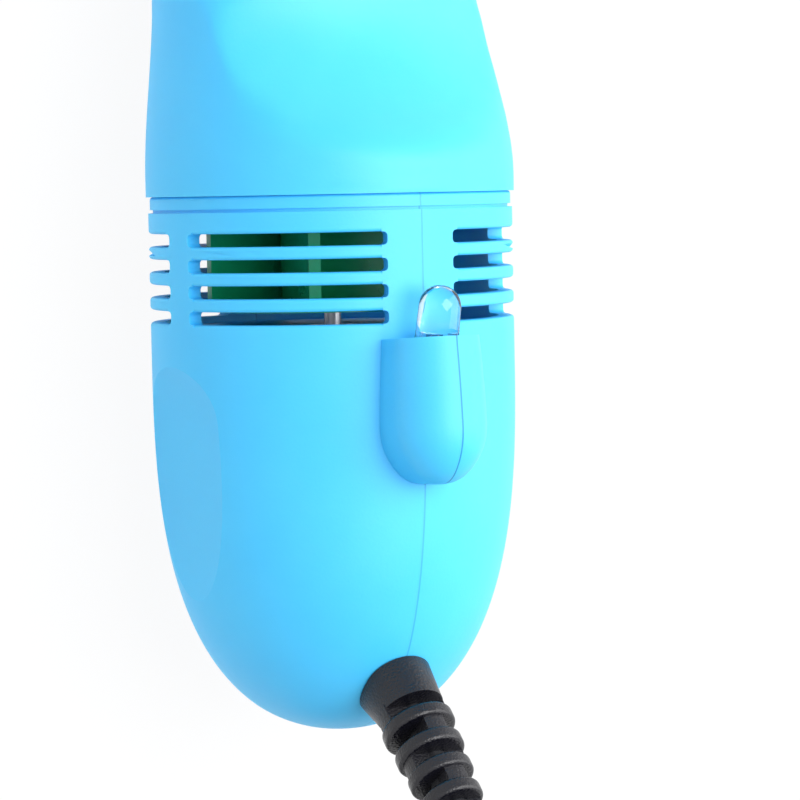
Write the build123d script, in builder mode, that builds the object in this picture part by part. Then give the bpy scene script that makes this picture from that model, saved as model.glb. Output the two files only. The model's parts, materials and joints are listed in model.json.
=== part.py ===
from build123d import *
import os
from math import atan2, cos, degrees, hypot, pi, radians, sin, sqrt, tan

# A small desk vacuum cleaner. Sizes are in millimetres. +Y points to the nozzle, +Z is up, and the
# body lies on its belly with the lamp pod on top. A place along the body is s, the distance behind
# the joint between the front cover and the housing, and a height is measured from the body's axis.

# Body
TOTAL_LENGTH = 140.0
REAR_LENGTH = 63.5
BODY_R = 21.5
COVER_R = BODY_R + 0.25
WALL = 1.8
FACE_GAP = 0.15
RUN_GAP = 0.06
FIT_GAP = 0.02
AXIS_Z = COVER_R
JOINT_Y = REAR_LENGTH - TOTAL_LENGTH / 2

# Housing front: rim, groove, spigot and vents
RIM_R = BODY_R - 0.2
RIM_ROUND = 0.4
GROOVE_S = 1.5
GROOVE_WIDTH = 0.4
GROOVE_DEPTH = 0.35
SPIGOT_LENGTH = 5.0
SPIGOT_R = BODY_R - 1.6
SPIGOT_GAP = 0.08
SHELF_S = 1.0
SHELF_THICK = 1.5
INLET_R = 9.0
VENT_ROWS = 4
VENT_S = 4.3
VENT_PITCH = 2.96
VENT_WIDTH = 1.5
VENT_ROUND = 0.4
VENT_END = 0.7
VENT_CORNER = 0.5
VENT_SPANS = ((-168.6, -109.0), (-78.3, -11.4), (11.4, 78.3), (88.6, 168.6))

# Housing tail: r = BODY_R (1 - u^TAIL_POWER)^TAIL_ROOT, with u from 0 at TAIL_S to 1 at the tip
TAIL_S = 18.0
TAIL_POWER = 2.95
TAIL_ROOT = 0.45
TAIL_STEPS = 10

# Grip recesses on both sides: in plan, a slope that starts at GRIP_S runs into a flat floor
GRIP_S = 19.6
GRIP_SLOPE = 24.0
GRIP_DEPTH = 1.45
GRIP_TILT = 2.75
GRIP_BLEND = 15.0
GRIP_WALL = 1.3

# Lamp pod and lamp
POD_S = 16.3
POD_LENGTH = 16.6
POD_RISE = 2.0
POD_TILT = 3.8
POD_HALF = 5.2
POD_BULGE = 0.36
POD_NOSE = 6.8
POD_ROOT = 3.6
POD_FLARE = 0.06
LED_R = 2.55
LED_DOME_R = 2.4
LED_FLANGE_R = 2.9
LED_FLANGE = 1.0
LED_LENGTH = 8.7
LED_PROUD = 6.0
LED_RISE = 2.85
LED_TILT = 13.0
LED_GAP = 0.1
LEAD = 0.5
LEAD_PITCH = 2.54
LEAD_RUN = 3.5
LEAD_DROP = 2.0
LEAD_INSIDE = 1.3
LEAD_CUP = 1.0
LEAD_END = BODY_R - 5.1
LEG_START = 0.7
RESISTOR_R = 1.0
RESISTOR_LENGTH = 4.0
RESISTOR_LEAD = 1.2
WIRE_R = 0.6
WIRE_BEND = 1.2

# Motor and fan
MOTOR_R = BODY_R - 9.5
MOTOR_S = 17.0
MOTOR_LENGTH = 24.0
CAN_WALL = 0.8
END_CAP = 3.0
BOSS_R = 3.0
BOSS_LENGTH = 1.5
PLATE_THICK = 1.5
PLATE_GAP = 0.3
FUSE = 0.5
CRADLE_S = 40.0
CRADLE_WIDTH = 1.6
CRADLE_HALF = 9.0
SHAFT_R = 1.0
FAN_R = BODY_R - 6.0
FAN_HUB_R = 3.2
FAN_BLADES = 6
FAN_BLADE = 1.3
FAN_BLADE_S = 3.3
FAN_BLADE_LENGTH = 9.0
FAN_PLATE = 1.2
FAN_EYE_R = 5.5
FAN_SWEEP = 62.0
FAN_PHASE = 24.3
SHAFT_S = 4.8
BUSH_R = 2.0
BUSH_GAP = 0.03
BUSH_LENGTH = 2.6
CAP_SPIGOT = 1.8
MAGNET_THICK = 1.9
MAGNET_SPLIT = 6.0
STACK_S = 22.0
STACK_LENGTH = 14.0
STACK_R = MOTOR_R - 3.4
STACK_HUB_R = 2.9
SHOE_THICK = 1.3
SHOE_GAP = 1.8
POLES = 3
TOOTH = 2.4
WINDING = 1.5
COMMUTATOR_R = 2.6
COMMUTATOR_LENGTH = 2.8
BRUSH_GAP = 0.05
BRUSH_OUT = 4.4
BRUSH_HIGH = 1.6
TERMINAL_X = 7.0
TERMINAL_THICK = 0.5
TERMINAL_WIDE = 2.8
TERMINAL_LENGTH = 8.0

# Filter in its collar
COLLAR_R = BODY_R - 7.4
COLLAR_WALL = 1.3
COLLAR_LENGTH = 3.0
FILTER_GAP = 0.08
FILTER_WALL = 1.2
FILTER_LIP_THICK = 1.0
FILTER_BAR = 1.4
FILTER_KNOB = 2.2
FILTER_TAB = 9.0
CLOTH_THICK = 0.5

# Front cover
SKIRT_LENGTH = 5.4
COVER_WALL = 2.2
SCOOP_END = 24.0
SCOOP_LOW = 10.0
SCOOP_CURVE = 0.0335
SCOOP_CROWN_R = 38.0
FLANK_ANGLE = 45.0
FLANK_NEAR = 15.6
FLANK_RISE = 0.35
NOSE_TAPER = 2.3
TAPER_START = 2.0
SOFT_SHOULDER = 2.4
SOFT_EDGE = 0.6
NOZZLE_R = 8.75
NOZZLE_DROP = 6.0
NOZZLE_LENGTH = 14.5
NOZZLE_BORE_R = 6.5
NOZZLE_BORE_DEPTH = 12.0
THROAT_R = 5.75
SECTION_STEP = 5
SHOULDER_PLACES = (1.25, 2.5, 3.75, 5.0, 6.5, 8.0, 10.0, 12.5, 15.0, 18.0, 21.0, 24.0)
NOSE_SECTIONS = 7

# Screws through the right half into the left half, as (s, height)
SCREW_PLACES = ((38.0, 6.1 - BODY_R), (53.5, -3.0))
SCREW_R = 1.1
SCREW_HEAD_R = 2.2
SCREW_HEAD = 1.5
SCREW_LENGTH = 11.0
SCREW_SEAT_X = 6.5
SCREW_POST_R = 2.6
PILOT_GAP = 0.03
SEAT_WALL = 0.9
SCREW_SLOT = 0.6

# Slide switch on the right side
SWITCH_S = 33.0
SWITCH_LENGTH = 10.0
SWITCH_HEIGHT = 5.2
SWITCH_DEPTH = 2.8
SWITCH_TRAVEL = 2.5
SWITCH_FRAME = 0.3
KNOB_LENGTH = 5.0
KNOB_HEIGHT = 3.6
KNOB_POCKET = 0.5
KNOB_SHY = 0.6
KNOB_GROOVE = 0.3
SLOT_GAP = 0.25
STEM = 1.8
RAIL_THICK = 1.2
PIN_LENGTH = 1.5

# Strain relief, in the seam plane, pointing up and back
RELIEF_S = 56.9
RELIEF_RISE = 14.0
RELIEF_ANGLE = 45.0
RELIEF_SKIRT = 3.2
RELIEF_FOOT_R = 4.35
RELIEF_FOOT_LOW = 6.1
RELIEF_CORNER = 3.2
RELIEF_SIDES = 24
RELIEF_NECK_R = 4.0
RELIEF_COLLAR = 3.9
RIB_COUNT = 6
RIB_PITCH = 3.4
RIB_THICK = 1.75
RIB_R = 4.3
RIB_R_LAST = 3.1
RIB_ROUND = 0.45
WEB_THICK = 2.5
WEB_SHY = 0.2
RELIEF_THROAT_R = 3.0
RELIEF_INSIDE = 5.2
RELIEF_LOCK_R = 4.6
RELIEF_LOCK = 1.6
CORD_STRIP = 3.0

# Cord and plug
CORD_R = 1.6
CORD_GAP = 0.05
COIL_X = 0.0
COIL_Y = -132.0
COIL_SKIP = 12
COIL_TURNS = 7
COIL_PITCH = 3.7
COIL_INNER_R = 11.75
TIE_THICK = 0.6
TIE_WIDTH = 6.0
TIE_GAP = 0.15
PLUG_X = 18.8
PLUG_Y = -161.0
PLUG_LENGTH = 18.0
PLUG_WIDTH = 15.0
PLUG_HEIGHT = 7.6
PLUG_NECK = 5.0
PLUG_ROUND = 1.8
NECK_WALL = 0.8
SHELL_ROOT = 2.0
LATCH = 2.2
LATCH_X = 2.9
LATCH_Y = 5.5
CONTACT_PITCH = 2.3
CONTACT_WIDE = 1.1
CONTACT_THICK = 0.25
CONTACT_LENGTH = 9.0
SHELL_LENGTH = 12.0
SHELL_WIDTH = 12.0
SHELL_HEIGHT = 4.5
SHELL_WALL = 0.3
TONGUE_THICK = 1.9

SIDE = Plane(origin=(0, JOINT_Y, AXIS_Z), x_dir=(0, -1, 0), z_dir=(-1, 0, 0))
BODY_AXIS = Axis((0, JOINT_Y, AXIS_Z), (0, -1, 0))


def across(s, x=0.0, rise=0.0):
    """The plane across the body at s, facing the tail, with its origin at x and rise from the axis."""
    return Plane(origin=(x, JOINT_Y - s, AXIS_Z + rise), x_dir=(1, 0, 0), z_dir=(0, -1, 0))


def radial(angle):
    """The plane through the body's axis, turned by angle from the top to the left side."""
    turn = radians(angle)
    return Plane(
        origin=(0, JOINT_Y, AXIS_Z), x_dir=(0, -1, 0), z_dir=(-cos(turn), 0, -sin(turn))
    )


def ring(start, end, inner, outer):
    """A flat ring, or a disc, about the body's axis, from start to end along the body."""
    with BuildPart() as solid:
        with BuildSketch(across(start)):
            Circle(outer)
            if inner:
                Circle(inner, mode=Mode.SUBTRACT)
        extrude(amount=end - start)
    return solid.part


def rod(plane, radius, length):
    """A round bar that starts on the plane and runs along its normal."""
    with BuildPart() as solid:
        with BuildSketch(plane):
            Circle(radius)
        extrude(amount=length)
    return solid.part


def bar(plane, wide, high, length):
    """A rectangular bar that starts on the plane and runs along its normal."""
    with BuildPart() as solid:
        with BuildSketch(plane):
            Rectangle(wide, high)
        extrude(amount=length)
    return solid.part


def tail_radius(s, inset=0.0):
    """The radius of the housing at s, or of the surface that lies inset under it."""
    share = max(0.0, (s - TAIL_S) / (REAR_LENGTH - inset - TAIL_S))
    return (BODY_R - inset) * (1 - min(share, 1.0) ** TAIL_POWER) ** TAIL_ROOT


def tail_points(inset=0.0):
    """Points of the tail's outline, closer together towards the tip."""
    length = REAR_LENGTH - inset - TAIL_S
    places = [TAIL_S + length * sin(pi / 2 * k / TAIL_STEPS) for k in range(TAIL_STEPS + 1)]
    return [(s, tail_radius(s, inset)) for s in places]


def barrel(start, inset):
    """The barrel and tail as one solid behind start, with its surface inset under the skin."""
    with BuildPart() as solid:
        with BuildSketch(SIDE):
            with BuildLine():
                Polyline((start, 0), (start, BODY_R - inset), (TAIL_S, BODY_R - inset))
                Spline(*tail_points(inset), tangents=((1, 0), (0, -1)))
                Line((REAR_LENGTH - inset, 0), (start, 0))
            make_face()
        revolve(axis=BODY_AXIS)
    return solid.part


def save(part, name):
    part.label = name
    export_step(part, f"parts/{name}.step")


os.makedirs("parts", exist_ok=True)

# The outside of the housing as one solid, with the rounded rim and the groove behind it
groove_end = GROOVE_S + GROOVE_WIDTH
with BuildPart() as housing_form:
    add(barrel(groove_end, 0))
    with BuildSketch(SIDE):
        with BuildLine():
            Polyline((groove_end, 0), (0, 0), (0, RIM_R - RIM_ROUND))
            RadiusArc((0, RIM_R - RIM_ROUND), (RIM_ROUND, RIM_R), RIM_ROUND)
            Polyline(
                (RIM_ROUND, RIM_R),
                (GROOVE_S, RIM_R),
                (GROOVE_S, RIM_R - GROOVE_DEPTH),
                (groove_end, RIM_R - GROOVE_DEPTH),
                (groove_end, 0),
            )
        make_face()
    revolve(axis=BODY_AXIS)

# The lamp pod: a bullet about its own axis, carried straight down into the barrel
pod_tilt = radians(POD_TILT)
POD_TOP = Plane(
    origin=(0, JOINT_Y - POD_S, AXIS_Z + BODY_R + POD_RISE),
    x_dir=(0, -cos(pod_tilt), sin(pod_tilt)),
    z_dir=(0, sin(pod_tilt), cos(pod_tilt)),
)
POD_AXIS = Axis(POD_TOP.origin, POD_TOP.x_dir)
pod_end = POD_LENGTH - POD_NOSE
pod_wide = POD_HALF + POD_BULGE


def pod_outline(side):
    """Half of the pod's outline, from its open face round to the tip of its nose."""
    Spline(
        (0, side * POD_HALF),
        (pod_end, side * pod_wide),
        tangents=((1, side * POD_FLARE), (1, 0)),
    )
    Spline(
        (pod_end, side * pod_wide),
        (pod_end + POD_NOSE * sin(pi / 4), side * pod_wide * cos(pi / 4)),
        (POD_LENGTH, 0),
        tangents=((1, 0), (0, -side)),
    )


with BuildPart() as pod_form:
    with BuildSketch(POD_TOP):
        with BuildLine():
            pod_outline(1)
            Polyline((POD_LENGTH, 0), (0, 0), (0, POD_HALF))
        make_face()
    revolve(axis=POD_AXIS)
    with BuildSketch(POD_TOP):
        with BuildLine():
            pod_outline(1)
            pod_outline(-1)
            Line((0, -POD_HALF), (0, POD_HALF))
        make_face()
    extrude(amount=-POD_RISE - POD_ROOT)



def grip_x(s, inset=0.0):
    """How far the recess's floor is from the seam plane at s, with the floor moved in by inset."""
    tilt = radians(GRIP_TILT)
    return BODY_R - GRIP_DEPTH - inset / cos(tilt) - (s - GRIP_S) * tan(tilt)


def grip_sides(inset=0.0):
    """The space beyond both grip recesses, or beyond their floors moved in by inset."""
    slope = radians(GRIP_SLOPE)
    slope_x = BODY_R - inset / cos(slope)
    corner = (slope_x - grip_x(GRIP_S, inset)) / (tan(slope) - tan(radians(GRIP_TILT)))
    outside = COVER_R + WALL
    first = (outside, JOINT_Y - GRIP_S + (outside - slope_x) / tan(slope))
    last = (grip_x(REAR_LENGTH, inset), JOINT_Y - REAR_LENGTH)
    with BuildPart() as solid:
        with BuildSketch():
            with BuildLine():
                FilletPolyline(
                    first,
                    (slope_x - corner * tan(slope), JOINT_Y - GRIP_S - corner),
                    last,
                    radius=GRIP_BLEND,
                )
                Polyline(last, (outside, last[1]), first)
            make_face()
            mirror(about=Plane.YZ)
        extrude(amount=2 * AXIS_Z)
    return solid.part


def vent_ends(angle):
    """Radial bars with rounded corners, as the ends of the four rows of slots at angle."""
    turn = radians(angle)
    outwards = Plane(
        origin=(0, JOINT_Y, AXIS_Z), x_dir=(0, -1, 0), z_dir=(-sin(turn), 0, cos(turn))
    )
    with BuildPart() as bars:
        with BuildSketch(outwards.offset(BODY_R - WALL - 1)):
            for row in range(VENT_ROWS):
                with Locations((VENT_S + row * VENT_PITCH + VENT_WIDTH / 2, 0)):
                    RectangleRounded(VENT_WIDTH, 2 * VENT_END, VENT_CORNER)
        extrude(amount=WALL + 2)
    return bars.part


# The vents: four rows of slots in each span round the body, with the ribs' outer edges rounded
vent_end_turn = degrees(VENT_END / BODY_R)
with BuildPart() as vent_cut:
    for first, last in VENT_SPANS:
        with BuildSketch(radial(first + vent_end_turn)):
            for row in range(VENT_ROWS):
                front = VENT_S + row * VENT_PITCH
                back = front + VENT_WIDTH
                shoulder = BODY_R - VENT_ROUND
                with BuildLine():
                    Line((front, BODY_R - WALL - 1), (front, shoulder))
                    RadiusArc((front, shoulder), (front - VENT_ROUND, BODY_R), -VENT_ROUND)
                    Polyline(
                        (front - VENT_ROUND, BODY_R),
                        (front - VENT_ROUND, BODY_R + 1),
                        (back + VENT_ROUND, BODY_R + 1),
                        (back + VENT_ROUND, BODY_R),
                    )
                    RadiusArc((back + VENT_ROUND, BODY_R), (back, shoulder), -VENT_ROUND)
                    Polyline(
                        (back, shoulder),
                        (back, BODY_R - WALL - 1),
                        (front, BODY_R - WALL - 1),
                    )
                make_face()
        revolve(axis=BODY_AXIS, revolution_arc=last - first - 2 * vent_end_turn)
        add(vent_ends(first + vent_end_turn))
        add(vent_ends(last - vent_end_turn))

# The lamp's own frame: its axis leans outwards from the middle of the pod's open face
led_tilt = radians(LED_TILT)
LED_FACE = Plane(
    origin=(0, JOINT_Y - POD_S, AXIS_Z + BODY_R + LED_RISE),
    x_dir=(1, 0, 0),
    z_dir=(0, cos(led_tilt), sin(led_tilt)),
)
led_back = LED_PROUD - LED_LENGTH
led_flange_front = led_back + LED_FLANGE
lead_drop_s = POD_S - led_back + LEAD_RUN

lead_wide = LEAD_PITCH + 3 * LEAD
lead_plane = Plane(
    origin=(0, JOINT_Y - lead_drop_s, AXIS_Z + BODY_R + LED_RISE), x_dir=(1, 0, 0), z_dir=(0, 0, -1)
)

# The whole housing before it is parted along the seam
shelf_end = SHELF_S + SHELF_THICK
plate_s = MOTOR_S - PLATE_THICK
with BuildPart() as cradle:
    add(ring(CRADLE_S, CRADLE_S + CRADLE_WIDTH, MOTOR_R + RUN_GAP, BODY_R))
    Box(2 * CRADLE_HALF, 4 * TOTAL_LENGTH, 4 * TOTAL_LENGTH, mode=Mode.INTERSECT)
    add(barrel(shelf_end, WALL - FUSE), mode=Mode.INTERSECT)

with BuildPart() as cavity:
    add(barrel(shelf_end, WALL))
    add(grip_sides(GRIP_WALL), mode=Mode.SUBTRACT)

with BuildPart() as housing_shell:
    add(housing_form.part)
    add(grip_sides(), mode=Mode.SUBTRACT)
    add(pod_form.part)
    add(cavity.part, mode=Mode.SUBTRACT)
    add(ring(-SPIGOT_LENGTH, SHELF_S, 0, SPIGOT_R))
    add(ring(-SPIGOT_LENGTH, SHELF_S, 0, SPIGOT_R - WALL), mode=Mode.SUBTRACT)
    add(ring(SHELF_S - COLLAR_LENGTH, SHELF_S, COLLAR_R, COLLAR_R + COLLAR_WALL))
    add(ring(SHELF_S, shelf_end, 0, INLET_R), mode=Mode.SUBTRACT)
    add(ring(plate_s, MOTOR_S, BOSS_R + PLATE_GAP, BODY_R - WALL + FUSE))
    add(cradle.part)
    add(vent_cut.part, mode=Mode.SUBTRACT)
    add(
        rod(LED_FACE.offset(led_flange_front), LED_R + LED_GAP, LED_LENGTH),
        mode=Mode.SUBTRACT,
    )
    add(
        rod(LED_FACE.offset(led_back - LED_GAP), LED_FLANGE_R + LED_GAP, LED_FLANGE + LED_GAP),
        mode=Mode.SUBTRACT,
    )
    add(bar(LED_FACE.offset(led_back), lead_wide, 3 * LEAD, -LEAD_RUN - LEAD), mode=Mode.SUBTRACT)
    add(bar(lead_plane, lead_wide, 4 * LEAD, LED_RISE + WALL + LEAD_DROP), mode=Mode.SUBTRACT)


# The strain relief's frame: z points up and back, out of the housing
relief_turn = radians(RELIEF_ANGLE)
RELIEF_FOOT = Plane(
    origin=(0, JOINT_Y - RELIEF_S, AXIS_Z + RELIEF_RISE),
    x_dir=(1, 0, 0),
    z_dir=(0, -cos(relief_turn), sin(relief_turn)),
)
relief_length = RELIEF_COLLAR + RIB_COUNT * RIB_PITCH
relief_hole_r = RELIEF_THROAT_R + FACE_GAP

# Each half keeps its side of the seam and gets its screw posts
with BuildPart() as post_limit:
    add(barrel(shelf_end, WALL - FUSE))
    add(grip_sides(GRIP_WALL - FUSE), mode=Mode.SUBTRACT)


def screw_rods(radius, start, end):
    """Round bars on the screws' axes from x = start to x = end."""
    with BuildPart() as rods:
        with BuildSketch(Plane.YZ.offset(start)):
            for s, rise in SCREW_PLACES:
                with Locations((JOINT_Y - s, AXIS_Z + rise)):
                    Circle(radius)
        extrude(amount=end - start)
    return rods.part


relief_hole = rod(
    RELIEF_FOOT.offset(-RELIEF_INSIDE), relief_hole_r, RELIEF_INSIDE + RELIEF_COLLAR
)
pilot_x = SCREW_SEAT_X - SCREW_LENGTH - FACE_GAP
with BuildPart() as rear_housing_left:
    add(housing_shell.part)
    split(bisect_by=Plane.YZ, keep=Keep.BOTTOM)
    with BuildPart(mode=Mode.PRIVATE) as left_posts:
        add(screw_rods(SCREW_POST_R, 0, -BODY_R))
        add(post_limit.part, mode=Mode.INTERSECT)
    add(left_posts.part)
    add(screw_rods(SCREW_R + PILOT_GAP, 0, pilot_x), mode=Mode.SUBTRACT)
    add(relief_hole, mode=Mode.SUBTRACT)
save(rear_housing_left.part, "rear_housing_left")

# The switch lies under the right recess, flat against the wall
switch_face_x = grip_x(SWITCH_S + SWITCH_LENGTH / 2, GRIP_WALL) - FACE_GAP
switch_body_x = switch_face_x - SWITCH_FRAME
switch_back_x = switch_body_x - SWITCH_DEPTH
switch_y = JOINT_Y - SWITCH_S
slot_length = STEM + SWITCH_TRAVEL + 2 * SLOT_GAP
pocket_x = grip_x(SWITCH_S) - KNOB_POCKET
knob_top_x = BODY_R - KNOB_SHY


def sideways(x, y=switch_y, rise=0.0):
    """The plane at x that faces right, with its origin at y and rise from the body's axis."""
    return Plane(origin=(x, y, AXIS_Z + rise), x_dir=(0, 1, 0), z_dir=(1, 0, 0))


rail_rise = SWITCH_HEIGHT / 2 + FACE_GAP + RAIL_THICK / 2
with BuildPart() as right_ribs:
    add(screw_rods(SCREW_HEAD_R + SEAT_WALL, 0, BODY_R))
    for side in (-1, 1):
        add(bar(sideways(switch_back_x, rise=side * rail_rise), SWITCH_LENGTH, RAIL_THICK, BODY_R))
    add(post_limit.part, mode=Mode.INTERSECT)

with BuildPart() as rear_housing_right:
    add(housing_shell.part)
    split(bisect_by=Plane.YZ, keep=Keep.TOP)
    add(right_ribs.part)
    add(screw_rods(SCREW_R + FACE_GAP, 0, SCREW_SEAT_X), mode=Mode.SUBTRACT)
    add(screw_rods(SCREW_HEAD_R + FACE_GAP, SCREW_SEAT_X, COVER_R), mode=Mode.SUBTRACT)
    add(
        bar(sideways(switch_body_x), slot_length, STEM + 2 * SLOT_GAP, BODY_R),
        mode=Mode.SUBTRACT,
    )
    add(
        bar(
            sideways(pocket_x),
            KNOB_LENGTH + SWITCH_TRAVEL + 4 * SLOT_GAP,
            KNOB_HEIGHT + 2 * SLOT_GAP,
            BODY_R,
        ),
        mode=Mode.SUBTRACT,
    )
    add(relief_hole, mode=Mode.SUBTRACT)
save(rear_housing_right.part, "rear_housing_right")

with BuildPart() as housing_screws:
    add(screw_rods(SCREW_HEAD_R, SCREW_SEAT_X, SCREW_SEAT_X + SCREW_HEAD))
    add(screw_rods(SCREW_R, SCREW_SEAT_X, SCREW_SEAT_X - SCREW_LENGTH))
    for s, rise in SCREW_PLACES:
        head_face = sideways(SCREW_SEAT_X + SCREW_HEAD, JOINT_Y - s, rise)
        for wide, high in ((SCREW_HEAD_R, SCREW_SLOT), (SCREW_SLOT, SCREW_HEAD_R)):
            add(bar(head_face, wide, high, -SCREW_HEAD / 2), mode=Mode.SUBTRACT)
save(housing_screws.part, "housing_screws")

# The front cover is a tube about the body's axis whose radius is worked out by direction. Behind
# the shoulder it is round. Ahead of it the top is scooped to a flatter surface with soft flanks,
# and the whole section shrinks towards the belly and then into the round nozzle.
nozzle_start = TOTAL_LENGTH - REAR_LENGTH - NOZZLE_LENGTH
cover_end = TOTAL_LENGTH - REAR_LENGTH


def ease(share):
    """0 to 1 with level ends."""
    share = min(max(share, 0.0), 1.0)
    return share * share * (3 - 2 * share)


def soft_min(a, b, soft):
    """The smaller of two radii, rounded over where they come within soft of each other."""
    near = max(soft - abs(a - b), 0.0) / soft
    return min(a, b) - near * near * soft / 4


def low_circle(angle, radius, drop):
    """The radius towards angle of a circle whose centre is dropped under the axis."""
    return -drop * cos(angle) + sqrt(radius**2 - (drop * sin(angle)) ** 2)


def shoulder_radius(angle, t, inset):
    """The cover's radius at t in front of the joint, up to the end of the scoop."""
    shrink = NOSE_TAPER * ease((t - TAPER_START) / (SCOOP_END - TAPER_START))
    round_r = low_circle(angle, COVER_R - shrink - inset, shrink)
    slope = 2 * SCOOP_CURVE * (SCOOP_END - t)
    top = SCOOP_LOW + SCOOP_CURVE * (SCOOP_END - t) ** 2 - inset * hypot(1, slope)
    soft = SOFT_EDGE + (SOFT_SHOULDER - SOFT_EDGE) * (1 - ease((t - 6) / 8))
    crown = cos(angle) + hypot(cos(angle), sin(angle) * sqrt(2 * top / SCOOP_CROWN_R))
    radius = round_r
    if crown > 0.1:
        radius = soft_min(round_r, 2 * top / crown, soft)
    lean = cos(abs(angle) - radians(FLANK_ANGLE))
    if lean > 0:
        flank = FLANK_NEAR + FLANK_RISE * (SCOOP_END - t) - inset
        radius = soft_min(radius, flank / lean, SOFT_EDGE)
    return radius


def cover_section(t, inset, end_r):
    """Points round the cover at t, its surface inset, on the way to a round end of radius end_r."""
    share = ease((t - SCOOP_END) / (nozzle_start - SCOOP_END))
    points = []
    for turn in range(0, 360, SECTION_STEP):
        angle = radians(turn if turn <= 180 else turn - 360)
        near = (1 - share) * shoulder_radius(angle, min(t, SCOOP_END), inset)
        radius = near + share * end_r
        points.append((radius * sin(angle), radius * cos(angle) - share * NOZZLE_DROP))
    return points


def cover_form(places, inset, end_r):
    """The cover's form as one solid through sections at the given distances before the joint."""
    with BuildPart() as form:
        for t in places:
            with BuildSketch(across(-t)):
                with BuildLine():
                    Spline(*cover_section(t, inset, end_r), periodic=True)
                make_face()
        loft(clean=False)
    return form.part


nose_step = (nozzle_start - SCOOP_END) / NOSE_SECTIONS
nose_places = [SCOOP_END + nose_step * (k + 1) for k in range(NOSE_SECTIONS)]
inner_places = [t for t in SHOULDER_PLACES if t > SKIRT_LENGTH]
bore_start = cover_end - NOZZLE_BORE_DEPTH
tube_places = [nozzle_start + NOZZLE_LENGTH * share for share in (0.3, 0.65, 1)]
with BuildPart() as front_cover:
    add(cover_form([0, *SHOULDER_PLACES, *nose_places, *tube_places], 0, NOZZLE_R))
    add(
        cover_form([SKIRT_LENGTH, *inner_places, *nose_places, bore_start], COVER_WALL, THROAT_R),
        mode=Mode.SUBTRACT,
    )
    add(ring(-SKIRT_LENGTH, 0, 0, SPIGOT_R + SPIGOT_GAP), mode=Mode.SUBTRACT)
    add(
        rod(across(-bore_start, rise=-NOZZLE_DROP), NOZZLE_BORE_R, -NOZZLE_BORE_DEPTH),
        mode=Mode.SUBTRACT,
    )
save(front_cover.part, "front_cover")

# The filter: a plastic ring in the collar, with a lip, cross bars and a pull tab, and its cloth
filter_r = COLLAR_R - FILTER_GAP
filter_inner = filter_r - FILTER_WALL
filter_front = SHELF_S - COLLAR_LENGTH
lip_front = filter_front - FILTER_LIP_THICK
with BuildPart() as filter_frame:
    add(ring(filter_front, SHELF_S, filter_inner, filter_r))
    add(ring(lip_front, filter_front, filter_inner, COLLAR_R + COLLAR_WALL))
    for wide, high in ((FILTER_BAR, 2 * filter_r), (2 * filter_r, FILTER_BAR)):
        add(bar(across(lip_front), wide, high, FILTER_LIP_THICK))
    add(bar(across(lip_front), FILTER_TAB, FILTER_BAR, -FILTER_KNOB))
save(filter_frame.part, "filter_frame")
save(
    ring(filter_front, filter_front + CLOTH_THICK, 0, filter_inner - FIT_GAP), "filter_cloth"
)

# The fan: a back plate with a hub and straight blades that lean back from the tips to the eye
fan_plate_s = FAN_BLADE_S + FAN_BLADE_LENGTH
with BuildPart() as impeller:
    add(ring(fan_plate_s, fan_plate_s + FAN_PLATE, 0, FAN_R))
    add(ring(FAN_BLADE_S + FAN_PLATE, fan_plate_s + FAN_PLATE, 0, FAN_HUB_R))
    with BuildSketch(across(FAN_BLADE_S)):
        for blade in range(FAN_BLADES):
            tip_turn = radians(FAN_PHASE + 360 / FAN_BLADES * blade)
            eye_turn = tip_turn - radians(FAN_SWEEP)
            tip = Vector(sin(tip_turn), cos(tip_turn)) * FAN_R
            eye = Vector(sin(eye_turn), cos(eye_turn)) * FAN_EYE_R
            lean = degrees(atan2((tip - eye).Y, (tip - eye).X))
            with Locations((tip + eye) / 2):
                Rectangle((tip - eye).length + FAN_BLADE, FAN_BLADE, rotation=lean)
        Circle(FAN_R, mode=Mode.INTERSECT)
    extrude(amount=FAN_BLADE_LENGTH)
    add(ring(0, MOTOR_S, 0, SHAFT_R + FIT_GAP), mode=Mode.SUBTRACT)
save(impeller.part, "impeller")

# The motor: can, end cap, magnets, three-pole armature, commutator, brushes and bushes
cap_s = MOTOR_S + MOTOR_LENGTH
boss_s = MOTOR_S - BOSS_LENGTH
save(ring(SHAFT_S, cap_s + END_CAP + BOSS_LENGTH, 0, SHAFT_R), "motor_shaft")

with BuildPart() as motor_can:
    add(ring(MOTOR_S, cap_s, 0, MOTOR_R))
    add(ring(MOTOR_S + CAN_WALL, cap_s, 0, MOTOR_R - CAN_WALL), mode=Mode.SUBTRACT)
    add(ring(boss_s, MOTOR_S + CAN_WALL, 0, BOSS_R))
    add(ring(boss_s, cap_s, 0, BUSH_R + FIT_GAP), mode=Mode.SUBTRACT)
save(motor_can.part, "motor_can")

cap_spigot_r = MOTOR_R - CAN_WALL - FIT_GAP
terminal_start = cap_s - CAP_SPIGOT
with BuildPart() as motor_end_cap:
    add(ring(cap_s, cap_s + END_CAP / 2, 0, MOTOR_R))
    add(ring(cap_s - CAP_SPIGOT, cap_s, cap_spigot_r - CAN_WALL, cap_spigot_r))
    add(ring(cap_s, cap_s + END_CAP, 0, BOSS_R))
    add(ring(cap_s, cap_s + END_CAP, 0, BUSH_R + FIT_GAP), mode=Mode.SUBTRACT)
    for side in (-1, 1):
        slot = across(terminal_start, x=side * TERMINAL_X)
        add(bar(slot, TERMINAL_THICK, TERMINAL_WIDE, TERMINAL_LENGTH), mode=Mode.SUBTRACT)
save(motor_end_cap.part, "motor_end_cap")

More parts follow.
